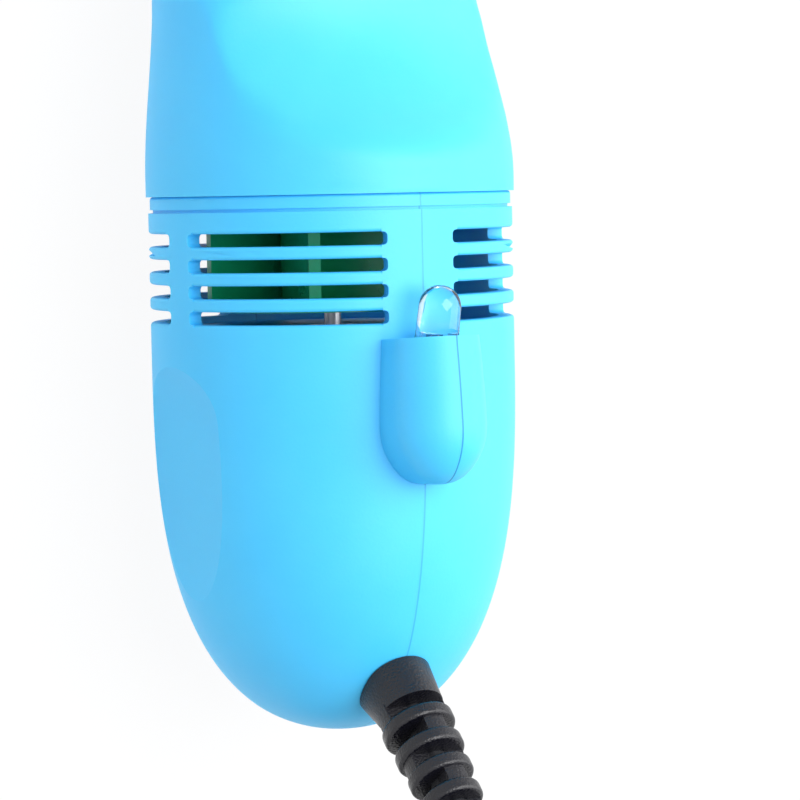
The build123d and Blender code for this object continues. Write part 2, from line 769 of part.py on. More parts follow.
with BuildPart() as motor_terminals:
    for side in (-1, 1):
        slot = across(terminal_start, x=side * TERMINAL_X)
        add(bar(slot, TERMINAL_THICK, TERMINAL_WIDE, TERMINAL_LENGTH))
        arm = across(terminal_start, x=side * (TERMINAL_X + BRUSH_OUT) / 2)
        add(bar(arm, TERMINAL_X - BRUSH_OUT, BRUSH_HIGH, TERMINAL_THICK))
save(motor_terminals.part, "motor_terminals")

brush_in = COMMUTATOR_R + BRUSH_GAP
with BuildPart() as motor_brushes:
    for side in (-1, 1):
        block = across(terminal_start - BRUSH_HIGH / 4, x=side * (brush_in + BRUSH_OUT) / 2)
        add(bar(block, BRUSH_OUT - brush_in, BRUSH_HIGH, BRUSH_HIGH))
save(motor_brushes.part, "motor_brushes")

with BuildPart() as motor_bushes:
    add(ring(boss_s, boss_s + BUSH_LENGTH, SHAFT_R + BUSH_GAP, BUSH_R))
    add(ring(cap_s, cap_s + BUSH_LENGTH, SHAFT_R + BUSH_GAP, BUSH_R))
save(motor_bushes.part, "motor_bushes")

magnet_r = MOTOR_R - CAN_WALL - FIT_GAP
with BuildPart() as motor_magnets:
    add(ring(STACK_S - FAN_PLATE, STACK_S + STACK_LENGTH, magnet_r - MAGNET_THICK, magnet_r))
    add(
        bar(across(0), MAGNET_SPLIT, 2 * MOTOR_R, cap_s),
        mode=Mode.SUBTRACT,
    )
save(motor_magnets.part, "motor_magnets")

stack_end = STACK_S + STACK_LENGTH
with BuildPart() as motor_armature:
    with BuildSketch(across(STACK_S)):
        Circle(STACK_R)
        Circle(STACK_R - SHOE_THICK, mode=Mode.SUBTRACT)
        with PolarLocations(STACK_R, POLES, start_angle=-90):
            Rectangle(3 * SHOE_THICK, SHOE_GAP, mode=Mode.SUBTRACT)
        with PolarLocations(STACK_R / 2, POLES, start_angle=90):
            Rectangle(STACK_R - SHOE_THICK, TOOTH)
        Circle(STACK_HUB_R)
        Circle(SHAFT_R + FIT_GAP, mode=Mode.SUBTRACT)
    extrude(amount=STACK_LENGTH)
save(motor_armature.part, "motor_armature")

winding_half = TOOTH / 2 + WINDING
winding_out = sqrt((STACK_R - SHOE_THICK - FIT_GAP) ** 2 - winding_half**2)
winding_in = STACK_HUB_R + FIT_GAP
with BuildPart() as motor_windings:
    with BuildSketch(across(STACK_S - WINDING)):
        with PolarLocations((winding_in + winding_out) / 2, POLES, start_angle=90):
            Rectangle(winding_out - winding_in, 2 * winding_half)
    extrude(amount=STACK_LENGTH + 2 * WINDING)
    with BuildSketch(across(STACK_S)):
        with PolarLocations(STACK_R / 2, POLES, start_angle=90):
            Rectangle(STACK_R, TOOTH)
    extrude(amount=STACK_LENGTH, mode=Mode.SUBTRACT)
save(motor_windings.part, "motor_windings")

with BuildPart() as motor_commutator:
    with BuildSketch(across(stack_end + WINDING + SLOT_GAP)):
        Circle(COMMUTATOR_R)
        Circle(SHAFT_R + FIT_GAP, mode=Mode.SUBTRACT)
        with PolarLocations(COMMUTATOR_R, POLES, start_angle=-90):
            Rectangle(2 * TERMINAL_THICK, TERMINAL_THICK, mode=Mode.SUBTRACT)
    extrude(amount=COMMUTATOR_LENGTH)
save(motor_commutator.part, "motor_commutator")

# The lamp: a clear domed lens moulded round its lead frame, whose legs drop into the barrel
lead_top = led_flange_front + LEAD_INSIDE
leg_drop = LED_RISE + BODY_R - LEAD_END
with BuildPart() as led_frame:
    with BuildSketch(LED_FACE.offset(lead_top)):
        with Locations((-LEAD_PITCH / 2, 0), (LEAD_PITCH / 2, 0)):
            Rectangle(LEAD, LEAD)
    extrude(amount=led_back - LEAD_RUN - lead_top)
    with BuildSketch(LED_FACE.offset(lead_top)):
        with Locations((-LEAD_PITCH / 4, 0)):
            Rectangle(LEAD_PITCH / 2 + LEAD, LEAD_CUP)
        with Locations((LEAD_PITCH / 2, 0)):
            Rectangle(LEAD, LEAD_CUP)
    extrude(amount=LEAD_CUP)
    with BuildSketch(lead_plane.offset(LEG_START)):
        with Locations((-LEAD_PITCH / 2, 0), (LEAD_PITCH / 2, 0)):
            Rectangle(LEAD, LEAD)
    extrude(amount=leg_drop - LEG_START)
save(led_frame.part, "led_frame")

dome_start = LED_PROUD - LED_DOME_R
with BuildPart() as led_lens:
    add(rod(LED_FACE.offset(led_back), LED_FLANGE_R, LED_FLANGE))
    with BuildSketch(LED_FACE.offset(led_back)):
        Circle(LED_R)
    with BuildSketch(LED_FACE.offset(dome_start)):
        Circle(LED_DOME_R)
    loft()
    with Locations(LED_FACE.offset(dome_start).origin):
        Sphere(LED_DOME_R)
    add(led_frame.part, mode=Mode.SUBTRACT)
save(led_lens.part, "led_lens")


def place(x, s, rise):
    """A point given by its distance behind the joint and its height from the body's axis."""
    return (x, JOINT_Y - s, AXIS_Z + rise)


leg_back_s = lead_drop_s + LEAD / 2
resistor_rise = LEAD_END + LEAD
resistor_ends = (leg_back_s + RESISTOR_LEAD, leg_back_s + RESISTOR_LEAD + RESISTOR_LENGTH)
resistor_back = resistor_ends[1] + RESISTOR_LEAD
with BuildPart() as led_resistor:
    add(
        rod(
            across(leg_back_s, -LEAD_PITCH / 2, resistor_rise),
            LEAD / 2,
            resistor_back - leg_back_s,
        )
    )
    add(
        rod(
            across(resistor_ends[0], -LEAD_PITCH / 2, resistor_rise),
            RESISTOR_R,
            RESISTOR_LENGTH,
        )
    )
save(led_resistor.part, "led_resistor")

# The slide switch under the right recess: body, cover plate, pins and the sliding knob
pin_places = (-SWITCH_TRAVEL, 0, SWITCH_TRAVEL)
with BuildPart() as switch_body:
    add(bar(sideways(switch_back_x), SWITCH_LENGTH, SWITCH_HEIGHT, SWITCH_DEPTH))
    add(
        bar(sideways(switch_body_x), slot_length, STEM + 2 * SLOT_GAP, -SWITCH_DEPTH / 2),
        mode=Mode.SUBTRACT,
    )
    for y in pin_places:
        add(
            bar(sideways(switch_back_x, switch_y + y), LEAD, PIN_LENGTH, SWITCH_DEPTH / 4),
            mode=Mode.SUBTRACT,
        )
save(switch_body.part, "switch_body")

with BuildPart() as switch_frame:
    add(bar(sideways(switch_body_x), SWITCH_LENGTH, SWITCH_HEIGHT, SWITCH_FRAME))
    add(
        bar(sideways(switch_body_x), slot_length, STEM + 2 * SLOT_GAP, SWITCH_FRAME),
        mode=Mode.SUBTRACT,
    )
save(switch_frame.part, "switch_frame")

with BuildPart() as switch_terminals:
    for y in pin_places:
        add(
            bar(
                sideways(switch_back_x - PIN_LENGTH, switch_y + y),
                LEAD,
                PIN_LENGTH,
                PIN_LENGTH + SWITCH_DEPTH / 4,
            )
        )
save(switch_terminals.part, "switch_terminals")

knob_x = pocket_x + FACE_GAP
slider_y = switch_y - SWITCH_TRAVEL / 2
with BuildPart() as switch_slider:
    add(bar(sideways(knob_x, slider_y), KNOB_LENGTH, KNOB_HEIGHT, knob_top_x - knob_x))
    for rib in (-1, 0, 1):
        add(
            bar(
                sideways(knob_top_x, slider_y + rib * KNOB_LENGTH / 4),
                KNOB_LENGTH / 8,
                KNOB_HEIGHT,
                -KNOB_GROOVE,
            ),
            mode=Mode.SUBTRACT,
        )
    stem_x = switch_body_x - SWITCH_DEPTH / 3
    add(bar(sideways(stem_x, slider_y), STEM, STEM, knob_x - stem_x))
save(switch_slider.part, "switch_slider")

# The strain relief: a foot that follows the tail and narrows to a round collar, then ribs joined by
# flat webs that turn a quarter from gap to gap, so that the cord shows between them
rib_starts = [RELIEF_COLLAR + RIB_PITCH * (k + 1) - RIB_THICK for k in range(RIB_COUNT)]
rib_fade = (RIB_R - RIB_R_LAST) / (RIB_COUNT - 1)


def foot_point(side):
    """A point round the foot's rim: half a circle above, and a squarer, longer half below."""
    turn = 2 * pi * side / RELIEF_SIDES
    if sin(turn) > -FUSE / RELIEF_SIDES:
        return (RELIEF_FOOT_R * cos(turn), RELIEF_FOOT_R * sin(turn))
    wide = RELIEF_FOOT_R * abs(cos(turn)) ** (2 / RELIEF_CORNER)
    low = RELIEF_FOOT_LOW * abs(sin(turn)) ** (2 / RELIEF_CORNER)
    return (wide if cos(turn) > 0 else -wide, -low)


with BuildPart() as strain_relief:
    with BuildSketch(RELIEF_FOOT.offset(-RELIEF_SKIRT)):
        with BuildLine():
            Spline(*[foot_point(side) for side in range(RELIEF_SIDES)], periodic=True)
        make_face()
    with BuildSketch(RELIEF_FOOT.offset(RELIEF_COLLAR)):
        with BuildLine():
            turns = [2 * pi * side / RELIEF_SIDES for side in range(RELIEF_SIDES)]
            neck = [(RELIEF_NECK_R * cos(turn), RELIEF_NECK_R * sin(turn)) for turn in turns]
            Spline(*neck, periodic=True)
        make_face()
    loft()
    add(barrel(shelf_end, -FACE_GAP), mode=Mode.SUBTRACT)
    add(rod(RELIEF_FOOT.offset(-RELIEF_INSIDE), RELIEF_THROAT_R, RELIEF_INSIDE + FUSE))
    add(rod(RELIEF_FOOT.offset(-RELIEF_INSIDE), RELIEF_LOCK_R, RELIEF_LOCK))
    for k, start in enumerate(rib_starts):
        rib_r = RIB_R - rib_fade * k
        gap = RIB_PITCH - RIB_THICK
        across_seam = k % 2 == 0
        sizes = (3 * RIB_R, WEB_THICK) if across_seam else (WEB_THICK, 3 * RIB_R)
        with BuildPart(mode=Mode.PRIVATE) as web:
            add(bar(RELIEF_FOOT.offset(start - gap - FUSE), *sizes, gap + 2 * FUSE))
            add(
                rod(RELIEF_FOOT.offset(start - gap - FUSE), rib_r - WEB_SHY, gap + 2 * FUSE),
                mode=Mode.INTERSECT,
            )
        add(web.part)
        with BuildPart(mode=Mode.PRIVATE) as rib:
            add(rod(RELIEF_FOOT.offset(start), rib_r, RIB_THICK))
            fillet(rib.edges(), radius=RIB_ROUND)
        add(rib.part)
    add(
        rod(RELIEF_FOOT.offset(-RELIEF_INSIDE), CORD_R + CORD_GAP, RELIEF_INSIDE + relief_length),
        mode=Mode.SUBTRACT,
    )
save(strain_relief.part, "strain_relief")

cord_start = -RELIEF_INSIDE - CORD_STRIP
save(rod(RELIEF_FOOT.offset(cord_start), CORD_R, relief_length - cord_start), "cord_inner")


def tube(points, radius, radii):
    """A round tube along straight runs joined by tangent arcs."""
    with BuildPart() as solid:
        with BuildLine() as path:
            FilletPolyline(*points, radius=radii)
        start = path.wires()[0]
        with BuildSketch(Plane(origin=start @ 0, z_dir=start % 0)):
            Circle(radius)
        sweep(path=start)
    return solid.part


# The wires inside: from the cord to the switch and the motor, and on to the lamp
wire_start = RELIEF_FOOT.offset(cord_start)
cord_s = JOINT_Y - wire_start.origin.Y
cord_rise = wire_start.origin.Z - AXIS_Z
tab_x = TERMINAL_X + TERMINAL_THICK / 2
tab_s = terminal_start + TERMINAL_LENGTH - WIRE_R - LEAD
pin_x = switch_back_x - PIN_LENGTH / 2
wire_side = MOTOR_R - WIRE_R + RUN_GAP
wire_over = MOTOR_R - 2 * BOSS_LENGTH + WIRE_R
wire_high = rail_rise + WIRE_R + LEAD
low = TERMINAL_WIDE / 4
routes = {
    "wire_supply_red": (
        place(low, cord_s, cord_rise),
        place(low, cord_s - 2, cord_rise - 2),
        place(pin_x, tab_s + 2 * BOSS_LENGTH + LEAD, wire_high),
        place(pin_x, SWITCH_S, wire_high),
        place(pin_x, SWITCH_S, PIN_LENGTH / 2),
    ),
    "wire_supply_black": (
        place(-low, cord_s, cord_rise),
        place(-low, cord_s - 2, cord_rise - 2),
        place(-MOTOR_R + BOSS_LENGTH, tab_s + 4 * BOSS_LENGTH, BOSS_LENGTH),
        place(-MOTOR_R + 2 * LEAD, tab_s, -low),
        place(-tab_x, tab_s, -low),
    ),
    "wire_switched": (
        place(pin_x, SWITCH_S + SWITCH_TRAVEL + LEAD / 2, 0),
        place(pin_x, MOTOR_S + MOTOR_LENGTH + LEAD, 0),
        place(MOTOR_R, tab_s, -low),
        place(tab_x, tab_s, -low),
    ),
    "wire_lamp_red": (
        place(-LEAD_PITCH / 2, resistor_back, resistor_rise),
        place(-LEAD_PITCH / 2 - LEAD, resistor_back + 2, resistor_rise),
        place(-wire_side, SWITCH_S + LEAD, wire_over),
        place(-wire_side, tab_s, wire_over),
        place(-wire_side, tab_s, low),
        place(-tab_x, tab_s, low),
    ),
    "wire_lamp_black": (
        place(LEAD_PITCH / 2, leg_back_s, resistor_rise),
        place(LEAD_PITCH / 2, resistor_ends[1], resistor_rise),
        place(wire_side, SWITCH_S + LEAD, wire_over),
        place(wire_side, tab_s, wire_over),
        place(wire_side, tab_s, low),
        place(tab_x, tab_s, low),
    ),
}
for name, points in routes.items():
    save(tube(points, WIRE_R, WIRE_BEND), name)


def bend_radii(points):
    """The radius of each corner: 0.45 of its shorter run, over the tangent of half the turn."""
    runs = [Vector(b) - Vector(a) for a, b in zip(points, points[1:])]
    return [
        0.45 * min(a.length, b.length) / tan(radians(a.get_angle(b)) / 2)
        for a, b in zip(runs, runs[1:])
    ]


# The cord outside: from the strain relief over and down to the coil, and on to the plug
cord_tip = RELIEF_FOOT.offset(relief_length).origin
coil_outer = COIL_INNER_R + COIL_PITCH * COIL_TURNS / 2
coil_low = TIE_THICK + TIE_GAP + CORD_R
coil_high = coil_low + COIL_PITCH
coil_in = Vector(coil_outer, COIL_Y + 2 * CORD_R, coil_low)
coil_out = Vector(coil_outer, COIL_Y - 2 * CORD_R, coil_high)
plug_z = PLUG_HEIGHT / 2
cord_routes = {
    "cord_lead": (
        cord_tip,
        cord_tip + RELIEF_FOOT.z_dir * 12.5,
        (6, -101.5, 62),
        (14.5, -106, 50),
        (20.5, -108.5, 34),
        (24, -108.5, 17.5),
        (coil_outer, -114, coil_low),
        coil_in,
    ),
    "cord_tail": (
        coil_out,
        (coil_outer, -145, coil_high),
        (PLUG_X, -153.8, plug_z),
        (PLUG_X, PLUG_Y, plug_z),
    ),
}
cord_length = relief_length - cord_start
for name, points in cord_routes.items():
    radii = bend_radii(points)
    solid = tube(points, CORD_R, radii)
    save(solid, name)
    cord_length += solid.volume / (pi * CORD_R**2)
    print(name, "radii", [round(radius, 1) for radius in radii])

# The coil is one tube: it spirals in to its middle, where it climbs a layer, and out again above
def coil_pose(turns):
    """The coil's point after so many turns, and its direction there."""
    left = turns - COIL_TURNS / 2
    radius = COIL_INNER_R + COIL_PITCH * abs(left)
    inwards = 0 if turns in (0, COIL_TURNS) else COIL_PITCH / (2 * pi) * (-1 if left > 0 else 1)
    out = Vector(cos(2 * pi * turns), -sin(2 * pi * turns), 0)
    along = Vector(out.Y, -out.X, 0)
    middle = Vector(COIL_X, COIL_Y, coil_low if left < 0 else coil_high)
    return middle + out * radius, (along * radius - out * inwards).normalized()


coil_climb = (COIL_TURNS / 2 - 0.25, COIL_TURNS / 2 + 0.25)
coil_steps = sorted({*(k / 2 for k in range(2 * COIL_TURNS + 1)), *coil_climb} - {COIL_TURNS / 2})
with BuildPart() as cord_coil:
    with BuildLine() as coil_path:
        Line(coil_in, coil_pose(0)[0])
        for turns, next_turns in zip(coil_steps, coil_steps[1:]):
            start, leaving = coil_pose(turns)
            end, arriving = coil_pose(next_turns)
            span = end - start
            spread = 2 * (1 - leaving.dot(arriving))
            push = span.dot(leaving + arriving)
            reach = (sqrt(push**2 + spread * span.dot(span)) - push) / spread
            near = start + leaving * reach
            far = end - arriving * reach
            joint = (near + far) / 2
            TangentArc(start, joint, tangent=leaving)
            TangentArc(joint, end, tangent=far - near)
        Line(coil_pose(COIL_TURNS)[0], coil_out)
    coil_wire = coil_path.wires()[0]
    with BuildSketch(Plane(origin=coil_wire @ 0, z_dir=coil_wire % 0)):
        Circle(CORD_R)
    sweep(path=coil_wire)
save(cord_coil.part, "cord_coil")

samples = int(coil_wire.length / CORD_R)
coil_points = [coil_wire @ (k / samples) for k in range(samples + 1)]
least = min(
    (a - b).length
    for k, a in enumerate(coil_points)
    for b in coil_points[k + round(COIL_SKIP) :]
)
coil_share = cord_coil.part.volume / (pi * CORD_R**2 * coil_wire.length)
cord_length += coil_wire.length
print("least gap in the coil", round(least - 2 * CORD_R, 2))
print("the coil's volume over section times length", round(coil_share, 3))
print("cord length", round(cord_length))

# The tie round the coil, on the side away from the cord's ends
tie_inner = COIL_INNER_R - CORD_R - TIE_GAP
tie_outer = coil_outer - COIL_PITCH / 2 + CORD_R + TIE_GAP
tie_wide = tie_outer - tie_inner
tie_high = coil_high + CORD_R + TIE_GAP - TIE_THICK
with BuildPart() as cord_tie:
    with BuildSketch(Plane(origin=(COIL_X, COIL_Y, 0), x_dir=(-1, 0, 0), z_dir=(0, 1, 0))):
        with Locations(((tie_inner + tie_outer) / 2, TIE_THICK + tie_high / 2)):
            RectangleRounded(tie_wide + 2 * TIE_THICK, tie_high + 2 * TIE_THICK, CORD_R)
            RectangleRounded(tie_wide, tie_high, CORD_R - TIE_THICK, mode=Mode.SUBTRACT)
    extrude(amount=TIE_WIDTH / 2, both=True)
save(cord_tie.part, "cord_tie")

# The plug: moulded grip with a tapered neck, metal shell, and the tongue with its four contacts
PLUG = Plane(origin=(PLUG_X, PLUG_Y, plug_z), x_dir=(1, 0, 0), z_dir=(0, -1, 0))
grip_end = PLUG_NECK + PLUG_LENGTH
with BuildPart() as plug_overmould:
    add(bar(PLUG.offset(PLUG_NECK), PLUG_WIDTH, PLUG_HEIGHT, PLUG_LENGTH))
    fillet(plug_overmould.edges(), radius=PLUG_ROUND)
    with BuildSketch(PLUG):
        Circle(CORD_R + NECK_WALL)
    with BuildSketch(PLUG.offset(PLUG_NECK + PLUG_ROUND)):
        Circle(CORD_R + 2 * NECK_WALL)
    loft()
    add(
        bar(PLUG.offset(grip_end - SHELL_ROOT), SHELL_WIDTH, SHELL_HEIGHT, SHELL_ROOT),
        mode=Mode.SUBTRACT,
    )
save(plug_overmould.part, "plug_overmould")

shell_start = PLUG.offset(grip_end - SHELL_ROOT)
shell_depth = SHELL_ROOT + SHELL_LENGTH
inner_wide = SHELL_WIDTH - 2 * SHELL_WALL
inner_high = SHELL_HEIGHT - 2 * SHELL_WALL
with BuildPart() as plug_shell:
    add(bar(shell_start, SHELL_WIDTH, SHELL_HEIGHT, shell_depth))
    add(bar(shell_start, inner_wide, inner_high, shell_depth), mode=Mode.SUBTRACT)
    with BuildSketch(Plane.XY.offset(PLUG_HEIGHT)):
        with Locations(
            (PLUG_X - LATCH_X, PLUG_Y - grip_end - LATCH_Y),
            (PLUG_X + LATCH_X, PLUG_Y - grip_end - LATCH_Y),
        ):
            Rectangle(LATCH, LATCH)
    extrude(amount=-PLUG_HEIGHT, mode=Mode.SUBTRACT)
save(plug_shell.part, "plug_shell")

contact_tops = [(k - 1.5) * CONTACT_PITCH for k in range(4)]
tongue_low = -inner_high / 2 + TONGUE_THICK
with BuildPart() as plug_insert:
    with BuildSketch(shell_start):
        with Locations((0, -(inner_high - TONGUE_THICK) / 2)):
            Rectangle(inner_wide, TONGUE_THICK)
    extrude(amount=shell_depth - SHELL_WALL)
    add(bar(shell_start, inner_wide, inner_high, SHELL_ROOT))
    with BuildSketch(shell_start.offset(SHELL_ROOT)):
        with Locations(*[(x, tongue_low) for x in contact_tops]):
            Rectangle(CONTACT_WIDE, 2 * CONTACT_THICK)
    extrude(amount=CONTACT_LENGTH, mode=Mode.SUBTRACT)
save(plug_insert.part, "plug_insert")

with BuildPart() as plug_contacts:
    with BuildSketch(shell_start.offset(SHELL_ROOT)):
        with Locations(*[(x, tongue_low - CONTACT_THICK / 2) for x in contact_tops]):
            Rectangle(CONTACT_WIDE, CONTACT_THICK)
    extrude(amount=CONTACT_LENGTH)
save(plug_contacts.part, "plug_contacts")
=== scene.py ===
# %% [markdown]
# A small desk vacuum cleaner, dressed for a picture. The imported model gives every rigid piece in
# its real place, so this file adds what a solid doesn't have: finishes, the soft cord, the light
# and the camera. Lengths are written in millimetres and turned into metres where a mesh is made.
# Only the finishes are in metres throughout, because shader nodes are.

# %% Load the frame
import json
from math import cos, pi, radians, sin

import bmesh
import bpy
from mathutils import Matrix, Vector


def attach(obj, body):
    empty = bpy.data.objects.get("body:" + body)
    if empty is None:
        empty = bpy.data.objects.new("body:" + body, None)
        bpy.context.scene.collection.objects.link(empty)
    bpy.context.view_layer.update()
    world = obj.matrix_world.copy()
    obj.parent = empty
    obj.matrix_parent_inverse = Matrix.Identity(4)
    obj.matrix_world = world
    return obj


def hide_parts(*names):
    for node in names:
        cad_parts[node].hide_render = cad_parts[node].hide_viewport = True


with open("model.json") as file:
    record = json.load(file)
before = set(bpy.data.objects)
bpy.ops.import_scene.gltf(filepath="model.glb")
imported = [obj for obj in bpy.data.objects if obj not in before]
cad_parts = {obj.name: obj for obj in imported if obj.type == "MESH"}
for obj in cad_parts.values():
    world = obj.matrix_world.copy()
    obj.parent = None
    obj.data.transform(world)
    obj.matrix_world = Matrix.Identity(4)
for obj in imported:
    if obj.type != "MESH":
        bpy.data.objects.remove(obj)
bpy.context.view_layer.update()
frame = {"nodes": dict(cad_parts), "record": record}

nodes = frame["nodes"]
scene = bpy.context.scene
MM = 0.001


def add_to_scene(name, data):
    """A new object with this data, at the origin."""
    made = bpy.data.objects.new(name, data)
    scene.collection.objects.link(made)
    return made


# %% [markdown]
# The picture looks down on the cleaner from above its left side, with a long lens, so that lines
# along the body stay almost parallel. The camera stands square to the body and leans a little
# towards the tail. Its place is worked out from three things: how far the lamp's seam is turned
# from the view, how far away the camera is, and where the body's axis crosses the frame.

# %% The camera
AXIS_Z = 21.75
JOINT_Y = -6.5
VIEW_TURN = radians(29.73)
VIEW_LEAN = radians(3.59)
VIEW_ROLL = radians(-1.15)
VIEW_DISTANCE = 404.0
VIEW_ASIDE = 7.79
VIEW_Y = -5.76
LENS = 153.42
NEAREST_SEEN = 10.0

back = Vector((-sin(VIEW_TURN), 0, cos(VIEW_TURN)))
right = Vector((cos(VIEW_TURN), 0, sin(VIEW_TURN)))
place = Vector((0, VIEW_Y, AXIS_Z)) + back * VIEW_DISTANCE + right * VIEW_ASIDE
lean = Matrix.Rotation(-VIEW_LEAN, 3, right)
up = lean @ Vector((0, 1, 0))
back = lean @ back
roll = Matrix.Rotation(VIEW_ROLL, 3, back)
axes = Matrix((roll @ right, roll @ up, back)).transposed().to_4x4()

camera_data = bpy.data.cameras.new("camera")
camera_data.lens = LENS
camera_data.clip_start = NEAREST_SEEN * MM
camera = add_to_scene("camera", camera_data)
camera.matrix_world = Matrix.Translation(place * MM) @ axes
scene.camera = camera
print("camera at", [round(v, 1) for v in place], "lens", LENS)

# %% [markdown]
# The cord is one length of thin round cable. It is clamped inside the housing, runs up through
# the ribbed strain relief, arches over and comes down to the table, where its spare length is
# wound in a flat coil of two layers. A NURBS curve through listed control points bends the
# way a cable does, and the coil is only more points of the same curve. A curve's thickness is its
# bevel times the radius of each point. The bevel here is one metre, so the radius is the cord's
# own.

# %% The cord's line
CORD_R = 1.6
RELIEF_ANGLE = radians(45)
RELIEF_FOOT = Vector((0, JOINT_Y - 56.9, AXIS_Z + 14.0))
RELIEF_OUT = Vector((0, -cos(RELIEF_ANGLE), sin(RELIEF_ANGLE)))
RELIEF_LENGTH = 24.3
CORD_START = -8.2
CORD_STRAIGHT = 12.5
PLUG_X = 18.8
PLUG_Y = -161.0
PLUG_Z = 3.8
COIL_Y = -132.0
COIL_TURNS = 7
COIL_PITCH = 3.7
COIL_INNER_R = 11.75
COIL_LOW = 2.35
COIL_HIGH = COIL_LOW + COIL_PITCH
COIL_OUTER_R = COIL_INNER_R + COIL_PITCH * COIL_TURNS / 2
TURN_POINTS = 16


def coil_point(turns):
    """A point of the coil: in to the middle on the bottom layer, then up and out again on top.

    The climb between the layers takes half a turn, and starts and ends level.
    """
    left = turns - COIL_TURNS / 2
    radius = COIL_INNER_R + COIL_PITCH * abs(left)
    climb = min(max(2 * left + 0.5, 0), 1)
    height = COIL_LOW + COIL_PITCH * climb * climb * (3 - 2 * climb)
    turn = -2 * pi * turns
    return Vector((radius * cos(turn), COIL_Y + radius * sin(turn), height))


cord_tip = RELIEF_FOOT + RELIEF_OUT * RELIEF_LENGTH
cord_points = [
    RELIEF_FOOT + RELIEF_OUT * CORD_START,
    cord_tip,
    cord_tip + RELIEF_OUT * CORD_STRAIGHT,
    Vector((6, -101.5, 62)),
    Vector((14.5, -106, 50)),
    Vector((20.5, -108.5, 34)),
    Vector((24, -108.5, 17.5)),
    Vector((COIL_OUTER_R, -114, COIL_LOW)),
    Vector((COIL_OUTER_R, COIL_Y + 2 * CORD_R, COIL_LOW)),
]
cord_points += [coil_point(k / TURN_POINTS) for k in range(COIL_TURNS * TURN_POINTS + 1)]
cord_points += [
    Vector((COIL_OUTER_R, COIL_Y - 2 * CORD_R, COIL_HIGH)),
    Vector((COIL_OUTER_R, -145, COIL_HIGH)),
    Vector((PLUG_X, -153.8, PLUG_Z)),
    Vector((PLUG_X, PLUG_Y, PLUG_Z)),
]

cord_curve = bpy.data.curves.new("cord", "CURVE")
cord_curve.dimensions = "3D"
spline = cord_curve.splines.new("NURBS")
spline.points.add(len(cord_points) - 1)
for knot, point in zip(spline.points, cord_points):
    knot.co = (*(point * MM), 1)
    knot.radius = CORD_R * MM
spline.order_u = 3
spline.use_endpoint_u = True
spline.resolution_u = 6
cord_curve.bevel_depth = 1.0
cord_curve.bevel_resolution = 5
cord_curve.use_fill_caps = True
cord = add_to_scene("cord", cord_curve)
print(len(cord_points), "control points in the cord")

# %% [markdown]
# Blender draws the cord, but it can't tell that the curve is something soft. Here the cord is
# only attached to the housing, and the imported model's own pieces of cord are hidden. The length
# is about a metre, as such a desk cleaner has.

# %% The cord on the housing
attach(cord, "housing")
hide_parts("cord_inner", "cord_lead", "cord_coil", "cord_tail")

# %% [markdown]
# The picture is a bright studio shot on white. A large soft light from the right makes that side
# pale, and another overhead lights the top evenly. A weak one from the left keeps that side from
# going dull, and a white sky fills the rest. The floor lies just under the cleaner and is plain.

# %% Light and floor
scene.view_settings.view_transform = "Standard"


def lamp(name, spot, target, size, power):
    """A square soft light at spot that faces target, with its power in watts."""
    data = bpy.data.lights.new(name, "AREA")
    data.shape = "SQUARE"
    data.size = size * MM
    data.energy = power
    made = add_to_scene(name, data)
    made.location = Vector(spot) * MM
    aim = Vector(target) - Vector(spot)
    made.rotation_euler = aim.to_track_quat("-Z", "Y").to_euler()


lamp("key_light", spot=(480, 60, 330), target=(0, -20, 20), size=620, power=2.6)
lamp("fill_light", spot=(-420, 60, 260), target=(0, -20, 20), size=320, power=0.15)
lamp("top_light", spot=(90, 70, 560), target=(0, -10, 20), size=460, power=3.4)

FLOOR_HALF = 5000.0
FLOOR_DROP = 0.05
corners = [
    (x * FLOOR_HALF * MM, y * FLOOR_HALF * MM, -FLOOR_DROP * MM)
    for x, y in ((-1, -1), (1, -1), (1, 1), (-1, 1))
]
floor_mesh = bpy.data.meshes.new("floor")
floor_mesh.from_pydata(corners, [], [(0, 1, 2, 3)])
add_to_scene("floor", floor_mesh)
print("three lights and a floor")

# %% [markdown]
# A finish is a small graph of shader nodes. Writing one as Python expressions keeps it readable,
# so this class wraps a socket: adding or multiplying two of them adds the Math node that does it.

# %% A wrapped socket
class Signal:
    """What comes out of a shader node."""

    def __init__(self, graph, socket):
        self.graph = graph
        self.socket = socket

    def _math(self, operation, first, second):
        return self.graph.node("ShaderNodeMath", {"operation": operation}, {0: first, 1: second})

    def __add__(self, other):
        return self._math("ADD", self, other)

    def __radd__(self, other):
        return self._math("ADD", other, self)

    def __sub__(self, other):
        return self._math("SUBTRACT", self, other)

    def __rsub__(self, other):
        return self._math("SUBTRACT", other, self)

    def __mul__(self, other):
        return self._math("MULTIPLY", self, other)

    def __rmul__(self, other):
        return self._math("MULTIPLY", other, self)


print("numbers in a graph can be added, subtracted and multiplied")

# %% [markdown]
# This class holds the tree, of a material or of the sky, and has a method for each kind of node
# that the finishes share. Noise is read at Object coordinates, which are the same as the model's
# own, so a pattern is the same size on every piece and stays with it when it moves.

# %% A tree of nodes
# Noise seldom leaves this range, so it is spread from here
NOISE_LOW, NOISE_HIGH = 0.3, 0.7
# A Mix node has sockets of the same name for numbers, vectors and colours: these are the colours'
MIX_SHARE, MIX_FIRST, MIX_SECOND, MIX_RESULT = 0, 6, 7, 2


